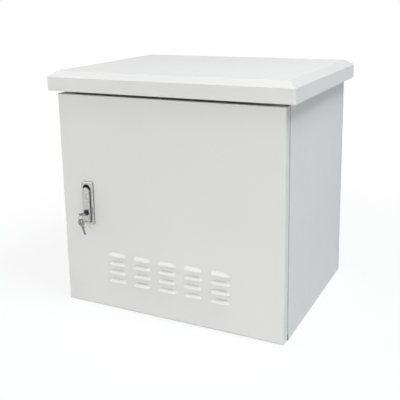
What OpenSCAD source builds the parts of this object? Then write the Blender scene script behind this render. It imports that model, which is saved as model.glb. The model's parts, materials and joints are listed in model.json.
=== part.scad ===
// Outdoor utility cabinet of folded sheet steel, with a louvred door, a rain roof and a rack frame.
// Millimetres. +X is right seen from the front, +Y points to the rear and +Z up.
// The origin is the middle of the carcass's underside.

/* [Carcass] */
// Outside width of the carcass and of the door
body_w = 600; // [570:1:700]
// Depth of the carcass behind the door
body_d = 450; // [400:1:600]
// Height of the carcass to the top panel
body_h = 580; // [570:1:800]
// Thickness of the sheet steel
sheet_t = 1.5; // [1.2:0.1:2]
// Inside radius of the folds
bend_r = 1.5; // [1:0.1:2]
// Width of the welding flanges at the rear edges
weld_flange = 15; // [12:1:20]

/* [Roof] */
// Overhang of the roof at each side
roof_side = 23; // [15:1:40]
// Overhang of the roof in front of the door's face
roof_front = 10.5; // [5:0.5:30]
// Overhang of the roof behind the carcass
roof_rear = 16.5; // [5:0.5:40]
// Height of the roof's upright lip
roof_lip = 34; // [28:1:60]
// Width of the sloped border
roof_run = 20; // [10:1:40]
// Rise of the sloped border
roof_rise = 14; // [8:1:30]
// Depth by which the lip reaches below the top panel
roof_drop = 20; // [10:1:30]
// Gap between the lip and the door's upper edge
roof_gap = 7; // [4:0.5:15]
// Radius of the roof's upright corners
roof_corner_r = 4; // [3:0.5:12]
// Radius of the pits where the roof's folds meet
pit_r = 2; // [1:0.5:3]
// Depth of those pits
pit_depth = 0.8; // [0.3:0.1:1]

/* [Roof fixing] */
// Distance of the roof bolts from the carcass's sides
roof_bolt_side = 70; // [50:1:150]
// Distance of the roof bolts from the carcass's front and rear
roof_bolt_end = 75; // [55:1:120]
// Diameter of the roof bolts
roof_bolt_d = 8; // [6:1:10]
// Outside diameter of the spacer tubes
spacer_d = 16; // [14:1:24]
// Thickness of the nuts welded under the roof
roof_nut_h = 6.5; // [5:0.5:8]

/* [Top vents] */
// Number of slots in each bank
vent_count = 8; // [2:1:10]
// Length of a slot
vent_l = 90; // [40:1:110]
// Width of a slot
vent_w = 6; // [4:0.5:8]
// Spacing of the slots
vent_pitch = 14; // [10:1:20]
// Distance of each bank from the middle
vent_x = 100; // [65:1:130]

/* [Door] */
// Depth of the door's folded edges
door_t = 23; // [22:0.5:26]
// Height of the door's lower edge above the base
door_lift = 2; // [1:0.5:6]
// Radius of the door's ground corners
door_corner_r = 3; // [2.5:0.5:6]
// Width of the door seal
seal_w = 12; // [8:1:16]
// Thickness of the door seal
seal_t = 10; // [6:0.5:12]
// Clearance between the seal and the gutter round the opening
seal_clear = 0.3; // [0.1:0.1:1]

/* [Louvres] */
// Number of columns
louvre_cols = 5; // [2:1:5]
// Number of rows
louvre_rows = 4; // [2:1:5]
// Length of a louvre at its open lower edge
louvre_l = 53; // [40:1:58]
// Height of a louvre
louvre_h = 10; // [7:0.5:12]
// Height of a louvre's crest over the door's face
louvre_out = 6; // [4:0.5:7]
// Radius of a louvre's hood
louvre_r = 16; // [13:0.5:20]
// Spacing of the columns
louvre_pitch_x = 71; // [62:1:75]
// Spacing of the rows
louvre_pitch_z = 23; // [18:1:26]
// Height of the lowest row above the door's lower edge
louvre_up = 73; // [65:1:120]

/* [Filter] */
// Width by which the filter mat reaches past the louvres
filter_margin = 12; // [8:1:18]
// Thickness of the filter mat
filter_t = 8; // [5:0.5:12]
// Thickness of the filter frame's sheet
filter_sheet = 1.2; // [0.8:0.1:2]
// Width of the rim that holds the mat
filter_rim = 8; // [5:0.5:12]
// Size of the fixing tabs
filter_tab = 16; // [14:1:20]
// Diameter of the studs and bolts of the small fixings
stud_d = 5; // [4:0.5:6]

/* [Hinges] */
// Distance of the hinge axis from the door's side edge
hinge_edge = 8; // [7.5:0.5:9]
// Distance of the hinge axis from the door's face
hinge_in = 12; // [11:0.5:13]
// Height of the hinge arms
hinge_h = 24; // [18:1:40]
// Distance of the hinges from the door's upper and lower edges
hinge_end = 95; // [70:1:140]
// Diameter of the hinge pins
hinge_pin_d = 5; // [4:0.5:5.5]
// Wall round a hinge pin
hinge_wall = 2.1; // [1.5:0.1:2.3]
// Thickness of the curved hinge neck
neck_t = 3.5; // [3:0.5:5]
// Thickness of the hinge foot
foot_t = 4; // [3:0.5:6]
// Thickness of the hinge bracket's sheet
ear_t = 1.5; // [1.2:0.1:1.6]
// Clearance of the moving hinge parts
swing_clear = 2.2; // [0.5:0.1:2.5]
// Radial clearance of pins and shafts in their holes
pin_clear = 0.05; // [0.02:0.01:0.1]

/* [Lock] */
// Distance of the lock from the door's left edge
lock_inset = 76.5; // [70:0.5:110]
// Height of the lock plate's middle above the door's lower edge
lock_up = 274; // [230:1:320]
// Width of the lock plate
plate_w = 34; // [32:0.5:45]
// Height of the lock plate
plate_h = 111; // [106:0.5:130]
// Thickness of the lock plate
plate_t = 4; // [3.5:0.5:7]
// Radius of the lock plate's corners
plate_r = 4; // [3:0.5:8]
// Radius of the lock plate's front edge
plate_edge_r = 1.5; // [0.5:0.5:2]
// Thickness of the gasket between the lock plate's rim and the door
gasket_t = 1.5; // [1:0.1:2]
// Width of the lock base behind the plate
base_w = 26; // [25.5:0.5:28]
// Height of the lock base
base_h = 100; // [96:0.5:104]
// Depth of the lock base
base_d = 16; // [12:0.5:18]
// Clearance of the lock base in the door
cut_clear = 0.3; // [0.2:0.1:1]
// Thickness of the clamp's sheet
clamp_t = 2; // [1.5:0.1:2.5]
// Diameter of the lock screws
lock_screw_d = 4; // [3:0.5:5]
// Distance of the lock screws from the plate's middle
lock_screw_z = 20; // [17:0.5:22]
// Half the width of the pocket behind the lever and radius of its upper end
pocket_r = 11.2; // [10.5:0.1:11.5]
// Distance of the pocket's middle to the left of the lever's
pocket_shift = 1; // [0:0.1:1.2]
// Distance of the pocket's upper end from the plate's upper edge
pocket_down = 6; // [5:0.5:10]
// Distance of the pocket's lower end below the spindle's axis
pocket_low = 6.6; // [6.2:0.1:7.5]
// Depth of the pocket in the lock base
pocket_depth = 6; // [3:0.5:9]

/* [Lever] */
// Height of the spindle above the plate's lower edge
spindle_up = 12; // [11:0.5:14]
// Radius of the spindle's shaft
spindle_r = 6; // [6:0.1:6.5]
// Side of the spindle's square end
spindle_sq = 8; // [7:0.5:8.2]
// Length of the lever from the spindle's axis to its tip
lever_l = 86; // [76:1:96]
// Width of the lever
lever_w = 18; // [17:0.5:20]
// Thickness of the lever
lever_t = 6.5; // [6.5:0.5:9]
// Thickness of the lever's tip
lever_tip_t = 4; // [3:0.5:6]
// Length of the bevel at the lever's tip
lever_bevel = 12; // [8:1:24]
// Radius of the lever's front edges
lever_edge_r = 1.5; // [0.5:0.5:2]
// Clearance between the lever and the plate
lever_gap = 0.4; // [0.3:0.1:0.8]
// Diameter of the lever's pin
lever_pin_d = 2.5; // [2:0.1:2.6]
// Width of the spindle's eye in the lever
eye_w = 8.6; // [7:0.2:10]
// Radius of the spindle's eye
eye_r = 2.2; // [2:0.1:2.3]
// Clearance round the eye
eye_clear = 0.2; // [0.15:0.05:0.3]
// Angle by which the lever lifts
lift_angle = 30; // [20:1:30]
// Thickness of the latch tongue
tongue_t = 3; // [2.5:0.5:5]
// Width of the latch tongue
tongue_w = 18; // [16:1:24]
// Clearance of the latch tongue behind and beside the frame
tongue_clear = 1; // [0.5:0.1:2]
// Diameter of the tongue screw
tongue_screw_d = 5; // [4:0.5:5.5]

/* [Lock cylinder and keys] */
// Height of the cylinder above the spindle's axis
barrel_up = 21; // [18:0.5:40]
// Radius of the cylinder's barrel
barrel_r = 7; // [6.5:0.1:7.5]
// Width of the barrel's rim
barrel_rim = 0.7; // [0.4:0.1:1]
// Height of the barrel's rim over the lever
barrel_proud = 1.2; // [0.6:0.1:2]
// Radius of the turning plug
plug_r = 4.6; // [4.2:0.1:5]
// Thickness of the keys
key_t = 2; // [1.6:0.1:2.2]
// Width of the key's blade
key_blade_w = 5.8; // [5:0.1:6.4]
// Clearance of the blade in the plug
key_clear = 0.1; // [0.05:0.05:0.2]
// Length of the spare key's blade
key_blade_l = 17; // [14:1:24]
// Length of the key's shoulder
key_neck_l = 6; // [4:0.5:10]
// Width of the key's shoulder
key_neck_w = 8; // [7:0.5:9]
// Radius of the key's bow
bow_r = 9.5; // [9:0.5:12]
// Radius of the hole in the bow
bow_hole_r = 3; // [2.8:0.1:3.4]
// Width of the bow's rim beyond the hole
bow_rim = 3; // [2.5:0.1:3.5]
// Radius of the key ring at the middle of its wire
ring_r = 7.5; // [7:0.5:9]
// Radius of the key ring's wire
ring_wire_r = 0.8; // [0.7:0.1:0.9]
// Clearance between the ring and the keys
ring_clear = 0.15; // [0.1:0.05:0.25]
// Distance of the ring's wire from the middle of the hole
ring_in = 0.55; // [0.4:0.05:0.7]
// Tilt of the hanging key
spare_tilt = 18; // [0:1:25]

/* [Rack] */
// Distance of the rack's opening from the carcass's sides, 450.8 mm wide between 600 mm
rack_side = 74.6; // [70:0.1:90]
// Width of the rails' front flange
rail_flange = 24; // [22:0.5:26]
// Distance of the holes from the rails' inner edge
rack_hole_in = 7.15; // [7:0.05:7.3]
// Distance of the front rails behind the frame
rail_front = 75; // [60:1:120]
// Distance of the rear rails before the rear panel
rail_rear = 75; // [60:1:120]
// Thickness of the rails
rail_t = 2; // [1.5:0.1:2.5]
// Depth of the rails' side legs
rail_leg = 32; // [28:1:45]
// Spare length of the rails past the top and bottom hole
rail_end = 5; // [4:0.5:10]
// Height of the depth bars' legs
bar_leg = 30; // [26:1:40]
// Distance of the depth bars from the ends of the rails
bar_end = 20; // [10:1:60]
// Distance of the depth bars' ends from the carcass's front and rear
bar_gap = 25; // [20:1:40]
// Length of the adjusting slots in the depth bars
bar_slot = 50; // [30:1:60]

/* [Cable entry] */
// Width of the cut-out in the base
entry_w = 300; // [200:1:360]
// Depth of the cut-out in the base
entry_d = 80; // [60:1:100]
// Distance of the cut-out's middle from the carcass's rear
entry_rear = 115; // [100:1:160]
// Width by which the gland plate overlaps the base
entry_lap = 18; // [15:1:24]
// Thickness of the gland plate
gland_t = 2; // [1.5:0.1:3]
// Thickness of the gland plate's gasket
gland_seal_t = 2; // [1:0.5:4]
// Number of cable grommets
grommet_count = 4; // [2:1:5]
// Radius of the grommets' holes
grommet_r = 18; // [12:0.5:20]

/* [Fixing holes] */
// Distance of the base holes from the carcass's sides
base_hole_side = 60; // [40:1:100]
// Distance of the base holes from the carcass's front and rear
base_hole_end = 55; // [40:1:100]
// Radius of the base holes
base_hole_r = 6.5; // [5:0.5:8]
// Distance of the rear holes from the carcass's sides
rear_hole_side = 50; // [30:1:100]
// Distance of the rear holes from the carcass's top and bottom
rear_hole_end = 50; // [30:1:100]
// Radius of the rear holes
rear_hole_r = 5; // [4:0.5:7]

/* [Hidden] */
$fn = 64;

// Overlap of cutting shapes past the faces that they cut
cut = 1;

// Finishes
paint = [0.84, 0.84, 0.83];
zinc = [0.72, 0.74, 0.76];
satin_chrome = [0.70, 0.70, 0.70];
black_plastic = [0.06, 0.06, 0.06];
black_rubber = [0.08, 0.08, 0.08];
brass = [0.78, 0.62, 0.30];

// Hinge: the swing of the door's folded edge sets the neck, the seam and the frame
fold_in_r = bend_r + sheet_t;
tip_r = sqrt(pow(hinge_edge, 2) + pow(door_t - hinge_in, 2));
neck_in_r = tip_r + swing_clear;
neck_out_r = neck_in_r + neck_t;
door_gap = hinge_in + tip_r + swing_clear - door_t;
frame_w = hinge_edge + neck_out_r + swing_clear + seal_w / 2 + sheet_t / 2;

// Planes of the door, the frame and the opening
body_front = -body_d / 2;
body_rear = body_d / 2;
door_back = body_front - door_gap;
door_face = door_back - door_t;
door_inner = door_face + sheet_t;
door_top = body_h - roof_drop - roof_gap;
door_h = door_top - door_lift;
door_mid = door_lift + door_h / 2;
open_half = body_w / 2 - frame_w;
open_low = door_lift + frame_w;
open_high = door_top - frame_w;
gutter_y = door_inner + seal_t + seal_clear;
gutter_run = body_front - bend_r - gutter_y;

// Roof
roof_bolt_x = body_w / 2 - roof_bolt_side;
roof_bolt_y = body_d / 2 - roof_bolt_end;
roof_low = body_h - roof_drop;
roof_edge = roof_low + roof_lip;
roof_top = roof_edge + roof_rise;
roof_slope = atan(roof_rise / roof_run);
roof_half = body_w / 2 + roof_side;
roof_y0 = door_face - roof_front;
roof_y1 = body_rear + roof_rear;
roof_mid = (roof_y0 + roof_y1) / 2;
roof_half_d = (roof_y1 - roof_y0) / 2;

// Hinge places
pivot_x = body_w / 2 - hinge_edge;
pivot_y = door_face + hinge_in;
hinge_low = door_lift + hinge_end;
hinge_high = door_top - hinge_end;
pin_r = hinge_pin_d / 2;
boss_r = pin_r + pin_clear + hinge_wall;
foot_back = body_front - pivot_y;
foot_front = foot_back - foot_t;
foot_right = -sqrt(pow(neck_in_r, 2) - pow(foot_front, 2)) + 0.3;
foot_left = open_half + sheet_t + bend_r + seal_clear - pivot_x;
foot_mid = (foot_left + foot_right) / 2;
neck_start = 179 - asin(foot_front / neck_in_r);
neck_end = 180 + asin((hinge_in - sheet_t - swing_clear) / neck_out_r);
web_t = 4;
web_angle = neck_end - 10;
wedge_r = 3 * neck_out_r;
ear_gap = swing_clear / 2;
ear_bend_r = 1;
ear_half = hinge_h / 2 + ear_gap + ear_t;
ear_reach = pin_r + 3;
ear_depth = 2 * ear_reach + 3;
hinge_screw_z = hinge_h / 2 + 9;
foot_h = 2 * (hinge_screw_z + 9);
pin_head_r = pin_r + 1.7;
pin_head_h = 2;

// Lock and lever, measured from the door's face and the spindle's axis
lock_x = -body_w / 2 + lock_inset;
plate_mid = door_lift + lock_up;
spindle_z = plate_mid - plate_h / 2 + spindle_up;
pocket_z = plate_mid + plate_h / 2 - pocket_down - pocket_r;
lever_back = -plate_t - lever_gap;
lever_front = lever_back - lever_t;
lever_tip_front = lever_back - lever_tip_t;
heel_r = lever_t / 2;
lever_pin_y = lever_back - heel_r;
lever_pin_r = lever_pin_d / 2;
slot_r = eye_r + eye_clear;
slot_w = eye_w + 2 * eye_clear;
slot_front = eye_r * sin(lift_angle) + eye_clear;
tongue_front = body_front + sheet_t + tongue_clear - door_face;
tongue_back = tongue_front + tongue_t;
tongue_l = open_half - tongue_clear + lock_x;
barrel_front = lever_front - barrel_proud;
lock_screw_in = base_d - pocket_depth - 2;
clamp_bend_r = 1;
clamp_leg = base_h / 2 + cut_clear + clamp_bend_r + clamp_t;
clamp_foot = 12;
clamp_w = base_w - 2;

// Keys, measured from the hole in the bow
bow_mid = bow_r - bow_rim - bow_hole_r;
neck_low = bow_mid + sqrt(pow(bow_r, 2) - pow(key_neck_w / 2, 2)) - 1;
key_stop = bow_mid + bow_r + key_neck_l;
bitting = [[3, 0.9], [6, 1.3], [9, 0.7], [12, 1.1]];
key_y = barrel_front - key_stop;
key_z = spindle_z + barrel_up;
ring_drop = ring_r - key_t / 2 - ring_wire_r - ring_clear;
ring_y = key_y + ring_in - sqrt(pow(ring_r, 2) - pow(ring_drop, 2));
ring_z = key_z - ring_drop;
spare_z = ring_z - ring_r - bow_hole_r + ring_wire_r + ring_clear;

// Louvre hood: a drawn capsule whose axis lies behind the door's face and below the opening
hood_chord = sqrt(pow(louvre_out, 2) + pow(louvre_h, 2));
hood_back = sqrt(pow(louvre_r, 2) - pow(hood_chord / 2, 2));
hood_in = hood_back * louvre_h / hood_chord - louvre_out / 2;
hood_low = hood_back * louvre_out / hood_chord - louvre_h / 2;
hood_end = sqrt(pow(louvre_r, 2) - pow(hood_in, 2) - pow(hood_low, 2));
hood_half = louvre_l / 2 - hood_end;

// Filter behind the louvres
filter_w = (louvre_cols - 1) * louvre_pitch_x + louvre_l + 2 * filter_margin;
filter_h = (louvre_rows - 1) * louvre_pitch_z + louvre_h + 2 * filter_margin;
filter_z = door_lift + louvre_up + ((louvre_rows - 1) * louvre_pitch_z + louvre_h) / 2;
filter_stud_x = filter_w / 2 + filter_sheet + filter_tab / 2;
filter_stud_z = filter_h / 2 - filter_tab;
filter_stud_l = 10;
stud_r = stud_d / 2;
nut_af = 1.6 * stud_d;
nut_h = 0.8 * stud_d;

// Rack to the 19-inch standard, with as many units as the opening is high
rack_unit = 44.45;
rack_units = floor((open_high - open_low - 2 * rail_end) / rack_unit);
rack_hole = 9.5;
rack_hole_steps = [6.35, 22.225, 38.1];
rail_in = body_w / 2 - rack_side;
rail_out = rail_in + rail_flange;
rack_hole_x = rail_in + rack_hole_in;
rail_h = rack_units * rack_unit + 2 * rail_end;
rail_mid = (open_low + open_high) / 2;
rail_low = rail_mid - rail_h / 2;
rail_bend_r = 1.5;
front_rail_y = body_front + rail_front;
rear_rail_y = body_rear - rail_rear;
bar_low = rail_low + bar_end;
bar_high = rail_low + rail_h - bar_end - bar_leg;
bar_l = body_d - 2 * bar_gap;
rail_bolt_up = bar_leg / 2 + sheet_t;
rail_bolt_in = rail_leg / 2 + rail_t;
rail_bolt_r = 3;
rail_nut_af = rail_bolt_r * 10 / 3;
rail_nut_h = rail_bolt_r * 5 / 3;
rail_head_r = 5.5;
rail_head_h = 3.3;

// Cable entry
entry_y = body_rear - entry_rear;
entry_r = 8;
gland_stud_x = entry_w / 2 + entry_lap / 2;
gland_low = sheet_t + gland_seal_t;
gland_top = gland_low + gland_t;
gland_stud_l = gland_top + nut_h + 3;
grommet_pitch = entry_w / (grommet_count + 0.2);
grommet_lip = 4;
membrane_t = 1.5;

// Earth stud
earth_r = 4;
earth_collar = earth_r * 3 / 4;
earth_nut_af = earth_r * 13 / 4;
earth_nut_h = earth_r * 13 / 8;
earth_l = 30;
earth_side = 120;
earth_front = 165;
earth_x = -body_w / 2 + earth_side;
earth_y = body_front + earth_front;

// Rounded rectangle about the origin
module round_rect(w, h, r) {
    square([w - 2 * r, h], center = true);
    square([w, h - 2 * r], center = true);
    for (x = [-1, 1], y = [-1, 1])
        translate([x * (w / 2 - r), y * (h / 2 - r)]) circle(r);
}

// Profile in Y and Z drawn out along X
module along_x(length) {
    rotate([90, 0, 90]) linear_extrude(length, center = true) children();
}

// Profile in X and Z drawn out along Y
module along_y(length) {
    rotate([90, 0, 0]) linear_extrude(length, center = true) children();
}

// Round shape along +Y in place of +Z
module to_y() {
    rotate([-90, 0, 0]) children();
}

// Round shape along +X in place of +Z
module to_x() {
    rotate([0, 90, 0]) children();
}

// Strip of sheet that runs along +X and folds left or right after each flat
module folded(steps, t, r, i = 0) {
    run = steps[i][0];
    turn = steps[i][1];
    square([run, t]);
    if (turn > 0) {
        translate([run, t + r]) intersection() {
            fold_ring(t, r);
            translate([0, -r - t]) square(r + t);
        }
        translate([run + r + t, t + r]) rotate(90) folded(steps, t, r, i + 1);
    }
    if (turn < 0) {
        translate([run, -r]) intersection() {
            fold_ring(t, r);
            square(r + t);
        }
        translate([run + r, -r]) rotate(-90) folded(steps, t, r, i + 1);
    }
}

module fold_ring(t, r) {
    difference() {
        circle(r + t);
        circle(r);
    }
}

// Block with its front face on Y = 0, round front edges and round corners
module soft_block(w, d, h, edge_r, corner_r) {
    intersection() {
        translate([0, d / 2, 0]) along_y(d) round_rect(w, h, corner_r);
        translate([0, d, 0]) linear_extrude(h, center = true) round_rect(w, 2 * d, edge_r);
        translate([0, d, 0]) along_x(w) round_rect(2 * d, h, edge_r);
    }
}

// Slot with round ends along X, cut through a sheet on Z = 0
module slot(length, width, depth) {
    linear_extrude(depth, center = true) {
        square([length - width, width], center = true);
        for (x = [-1, 1]) translate([x * (length - width) / 2, 0]) circle(width / 2);
    }
}

// Hexagon nut on Z = 0
module hex_nut(af, h, hole_r) {
    difference() {
        cylinder(h = h, d = af / cos(30), $fn = 6);
        translate([0, 0, -cut]) cylinder(h = h + 2 * cut, r = hole_r);
    }
}

// Screw with its head on Z = 0 and its shank downwards
module button_screw(shank_r, length, head_r, head_h) {
    translate([0, 0, -length]) cylinder(h = length + head_h / 2, r = shank_r);
    rotate_extrude() intersection() {
        translate([0, head_h - sphere_r(head_r, head_h)]) circle(sphere_r(head_r, head_h));
        square([head_r, head_h]);
    }
}

function sphere_r(r, h) = (r * r + h * h) / (2 * h);

// Four places at the corners of a rectangle
module at_corners(x, y) {
    for (i = [-1, 1], j = [-1, 1]) translate([i * x, j * y, 0]) children();
}

// Side panel with its front flange, gutter lip and rear flange
module side_sheet() {
    flange_run = body_w / 2 - open_half - 2 * fold_in_r;
    side_run = body_d - sheet_t - 2 * fold_in_r;
    steps = [[gutter_run, -90], [flange_run, 90], [side_run, 90], [weld_flange - fold_in_r, 0]];
    difference() {
        linear_extrude(body_h)
            translate([open_half + sheet_t, gutter_y]) rotate(90) folded(steps, sheet_t, bend_r);
        for (z = [open_low - sheet_t - body_h, open_high + sheet_t])
            translate([open_half - cut, gutter_y - cut, z])
                cube([frame_w, body_front - gutter_y + cut, body_h]);
    }
}

module side_panel_left() {
    color(paint) mirror([1, 0, 0]) side_sheet();
}

module side_panel_right() {
    color(paint) difference() {
        side_sheet();
        at_hinge_screws() to_y() cylinder(h = 2 * frame_w, r = stud_r + pin_clear);
    }
}

module rear_panel() {
    color(paint) difference() {
        translate([-body_w / 2, body_rear - sheet_t, 0]) cube([body_w, sheet_t, body_h]);
        translate([0, body_rear - sheet_t - cut, body_h / 2]) rotate([-90, 0, 0])
            at_corners(body_w / 2 - rear_hole_side, body_h / 2 - rear_hole_end)
                cylinder(h = sheet_t + 2 * cut, r = rear_hole_r);
    }
}

// Top or base sheet with its outer face on Z = 0, its front flange and its gutter lip
module cap_sheet(front_h) {
    rear_y = body_rear - sheet_t;
    half = body_w / 2 - sheet_t;
    steps = [[weld_flange - fold_in_r, 90], [body_d - sheet_t - 2 * fold_in_r, 90],
        [front_h - 2 * fold_in_r, -90], [gutter_run, 0]];
    difference() {
        along_x(2 * half)
            translate([rear_y, -weld_flange]) rotate(90) folded(steps, sheet_t, bend_r);
        for (side = [-1, 1]) {
            translate([side * (open_half + half), gutter_y + fold_in_r / 2, -front_h / 2])
                cube([2 * half, 2 * (body_front - gutter_y) + fold_in_r, front_h + 2 * cut],
                    center = true);
            translate([side * (body_w - weld_flange), rear_y, -weld_flange / 2])
                cube([body_w, 2 * fold_in_r, weld_flange + 2 * cut], center = true);
        }
    }
}

module top_panel() {
    color(paint) translate([0, 0, body_h]) difference() {
        cap_sheet(body_h - open_high);
        at_corners(roof_bolt_x, roof_bolt_y)
            cylinder(h = 4 * sheet_t, r = roof_bolt_d / 2 + pin_clear, center = true);
        for (side = [-1, 1], i = [0 : vent_count - 1])
            translate([side * vent_x, (i - (vent_count - 1) / 2) * vent_pitch, 0])
                slot(vent_l, vent_w, 4 * sheet_t);
    }
}

module base_panel() {
    color(paint) union() {
        difference() {
            mirror([0, 0, 1]) cap_sheet(open_low);
            translate([0, entry_y, 0]) linear_extrude(4 * sheet_t, center = true)
                round_rect(entry_w, entry_d, entry_r);
            at_corners(body_w / 2 - base_hole_side, body_d / 2 - base_hole_end)
                cylinder(h = 4 * sheet_t, r = base_hole_r, center = true);
        }
        at_gland_studs() translate([0, 0, sheet_t / 2])
            cylinder(h = gland_stud_l - sheet_t / 2, r = stud_r);
    }
}

// Roof section between two ends, drawn in by the sheet's thickness for the inside
function roof_section(half, inset, low) =
    let (edge_z = roof_edge - inset * (1 - sin(roof_slope)) / cos(roof_slope),
        top_in = roof_run + inset * (1 - cos(roof_slope)) / sin(roof_slope))
    [[-half + inset, low], [half - inset, low], [half - inset, edge_z],
        [half - top_in, roof_top - inset], [-half + top_in, roof_top - inset],
        [-half + inset, edge_z]];

module roof_form(inset, low) {
    translate([0, roof_mid, 0]) intersection() {
        along_y(2 * roof_half_d) polygon(roof_section(roof_half, inset, low));
        along_x(2 * roof_half) polygon(roof_section(roof_half_d, inset, low));
        translate([0, 0, low]) linear_extrude(roof_top - low)
            round_rect(2 * (roof_half - inset), 2 * (roof_half_d - inset), roof_corner_r - inset);
    }
}

module roof() {
    color(paint) difference() {
        roof_form(0, roof_low);
        roof_form(sheet_t, roof_low - cut);
        translate([0, roof_mid, roof_top - pit_depth])
            at_corners(roof_half - roof_run, roof_half_d - roof_run) cylinder(h = 2, r = pit_r);
    }
}

module roof_spacers() {
    spacer_h = roof_top - sheet_t - roof_nut_h - body_h;
    color(zinc) translate([0, 0, body_h]) at_corners(roof_bolt_x, roof_bolt_y) difference() {
        cylinder(h = spacer_h, d = spacer_d);
        translate([0, 0, -cut]) cylinder(h = spacer_h + 2 * cut, r = roof_bolt_d / 2 + 0.4);
    }
}

module roof_bolts() {
    head_h = 0.65 * roof_bolt_d;
    tip_z = roof_top - sheet_t - 0.5;
    color(zinc) translate([0, 0, body_h - sheet_t]) at_corners(roof_bolt_x, roof_bolt_y) {
        cylinder(h = tip_z - body_h + sheet_t, d = roof_bolt_d);
        translate([0, 0, -head_h]) cylinder(h = head_h, d = 1.6 * roof_bolt_d / cos(30), $fn = 6);
    }
}

module roof_nuts() {
    color(zinc) translate([0, 0, roof_top - sheet_t - roof_nut_h])
        at_corners(roof_bolt_x, roof_bolt_y)
            hex_nut(1.6 * roof_bolt_d, roof_nut_h, roof_bolt_d / 2 + pin_clear);
}

// Places of the studs round the cable entry
module at_gland_studs() {
    for (x = [-1, 0, 1], y = [-1, 1])
        translate([x * (gland_stud_x - stud_d), entry_y + y * (entry_d + entry_lap) / 2, 0])
            children();
}

// Plate over the cable entry with its stud holes
module entry_cover(low, t, hole_r) {
    difference() {
        translate([0, entry_y, low]) linear_extrude(t)
            round_rect(entry_w + 2 * entry_lap, entry_d + 2 * entry_lap, entry_r);
        at_gland_studs() translate([0, 0, low - cut]) cylinder(h = t + 2 * cut, r = hole_r);
    }
}

module at_grommets() {
    for (i = [0 : grommet_count - 1])
        translate([(i - (grommet_count - 1) / 2) * grommet_pitch, entry_y, gland_low]) children();
}

module gland_plate() {
    color(paint) difference() {
        entry_cover(gland_low, gland_t, stud_r + pin_clear);
        at_grommets() translate([0, 0, -cut]) cylinder(h = gland_t + 2 * cut, r = grommet_r);
    }
}

module gland_gasket() {
    color(black_rubber) difference() {
        entry_cover(sheet_t, gland_seal_t, stud_r + pin_clear);
        translate([0, entry_y, sheet_t - cut]) linear_extrude(gland_seal_t + 2 * cut)
            round_rect(entry_w, entry_d, entry_r);
    }
}

module gland_nuts() {
    color(zinc) at_gland_studs() translate([0, 0, gland_top])
        hex_nut(nut_af, nut_h, stud_r + pin_clear);
}

// Blind cable grommets: a groove for the plate and a thin membrane across the middle
module cable_grommets() {
    lip_t = 1.8;
    tube_t = 2.5;
    color(black_rubber) at_grommets() rotate_extrude() {
        translate([grommet_r - tube_t, -lip_t]) square([tube_t - pin_clear, gland_t + 2 * lip_t]);
        translate([grommet_r - tube_t, gland_t + pin_clear])
            square([tube_t + grommet_lip, lip_t - pin_clear]);
        translate([grommet_r - tube_t, -lip_t])
            square([tube_t + grommet_lip, lip_t - pin_clear]);
        translate([0, (gland_t - membrane_t) / 2]) square([grommet_r - tube_t + 0.5, membrane_t]);
    }
}

// Channel along the right side wall that carries the rails
module depth_bar(low) {
    bar_w = body_w / 2 - sheet_t - rail_out;
    bar_fold = sheet_t + bend_r;
    steps = [[bar_leg - bar_fold, 90], [bar_w - 2 * bar_fold, 90], [bar_leg - bar_fold, 0]];
    color(zinc) difference() {
        translate([rail_out, 0, low + bar_leg]) along_y(bar_l) rotate(-90) folded(steps, sheet_t, bend_r);
        for (y = [front_rail_y + rail_bolt_in, rear_rail_y - rail_bolt_in])
            translate([rail_out, y, low + rail_bolt_up]) rotate([0, 90, 0]) rotate(90)
                slot(bar_slot, 2 * rail_bolt_r + 0.6, 4 * sheet_t);
    }
}

module depth_bar_lower_left() {
    mirror([1, 0, 0]) depth_bar(bar_low);
}

module depth_bar_lower_right() {
    depth_bar(bar_low);
}

module depth_bar_upper_left() {
    mirror([1, 0, 0]) depth_bar(bar_high);
}

module depth_bar_upper_right() {
    depth_bar(bar_high);
}

// Right front rail with square holes for cage nuts
module rail() {
    rail_fold = rail_t + rail_bend_r;
    steps = [[rail_out - rail_in - rail_fold, 90], [rail_leg - rail_fold, 0]];
    color(zinc) difference() {
        translate([0, 0, rail_low]) linear_extrude(rail_h)
            translate([rail_in, 0]) folded(steps, rail_t, rail_bend_r);
        for (u = [0 : rack_units - 1], step = rack_hole_steps)
            translate([rack_hole_x, rail_t / 2, rail_low + rail_end + u * rack_unit + step])
                cube([rack_hole, 2 * rail_t, rack_hole], center = true);
        for (z = [bar_low, bar_high])
            translate([rail_out, rail_bolt_in, z + rail_bolt_up]) to_x()
                cylinder(h = 4 * rail_t, r = rail_bolt_r + pin_clear, center = true);
    }
}

module rack_rail_front_left() {
    mirror([1, 0, 0]) translate([0, front_rail_y, 0]) rail();
}

module rack_rail_front_right() {
    translate([0, front_rail_y, 0]) rail();
}

module rack_rail_rear_left() {
    mirror([1, 0, 0]) translate([0, rear_rail_y, 0]) mirror([0, 1, 0]) rail();
}

module rack_rail_rear_right() {
    translate([0, rear_rail_y, 0]) mirror([0, 1, 0]) rail();
}

// Places of the bolts between rails and depth bars, with X pointing outwards
module at_rail_bolts() {
    for (side = [0, 1], y = [front_rail_y + rail_bolt_in, rear_rail_y - rail_bolt_in],
            z = [bar_low, bar_high])
        mirror([side, 0, 0]) translate([rail_out, y, z + rail_bolt_up]) children();
}

module rail_bolts() {
    color(zinc) at_rail_bolts() translate([-rail_t, 0, 0]) rotate([0, -90, 0])
        button_screw(rail_bolt_r, rail_t + sheet_t + 7, rail_head_r, rail_head_h);
}

module rail_nuts() {
    color(zinc) at_rail_bolts() translate([sheet_t, 0, 0]) to_x()
        hex_nut(rail_nut_af, rail_nut_h, rail_bolt_r + pin_clear);
}

module earth_stud() {
    color(brass) translate([earth_x, earth_y, sheet_t]) {
        cylinder(h = earth_l, r = earth_r);
        cylinder(h = earth_collar, r = earth_r + earth_collar);
    }
}

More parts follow.
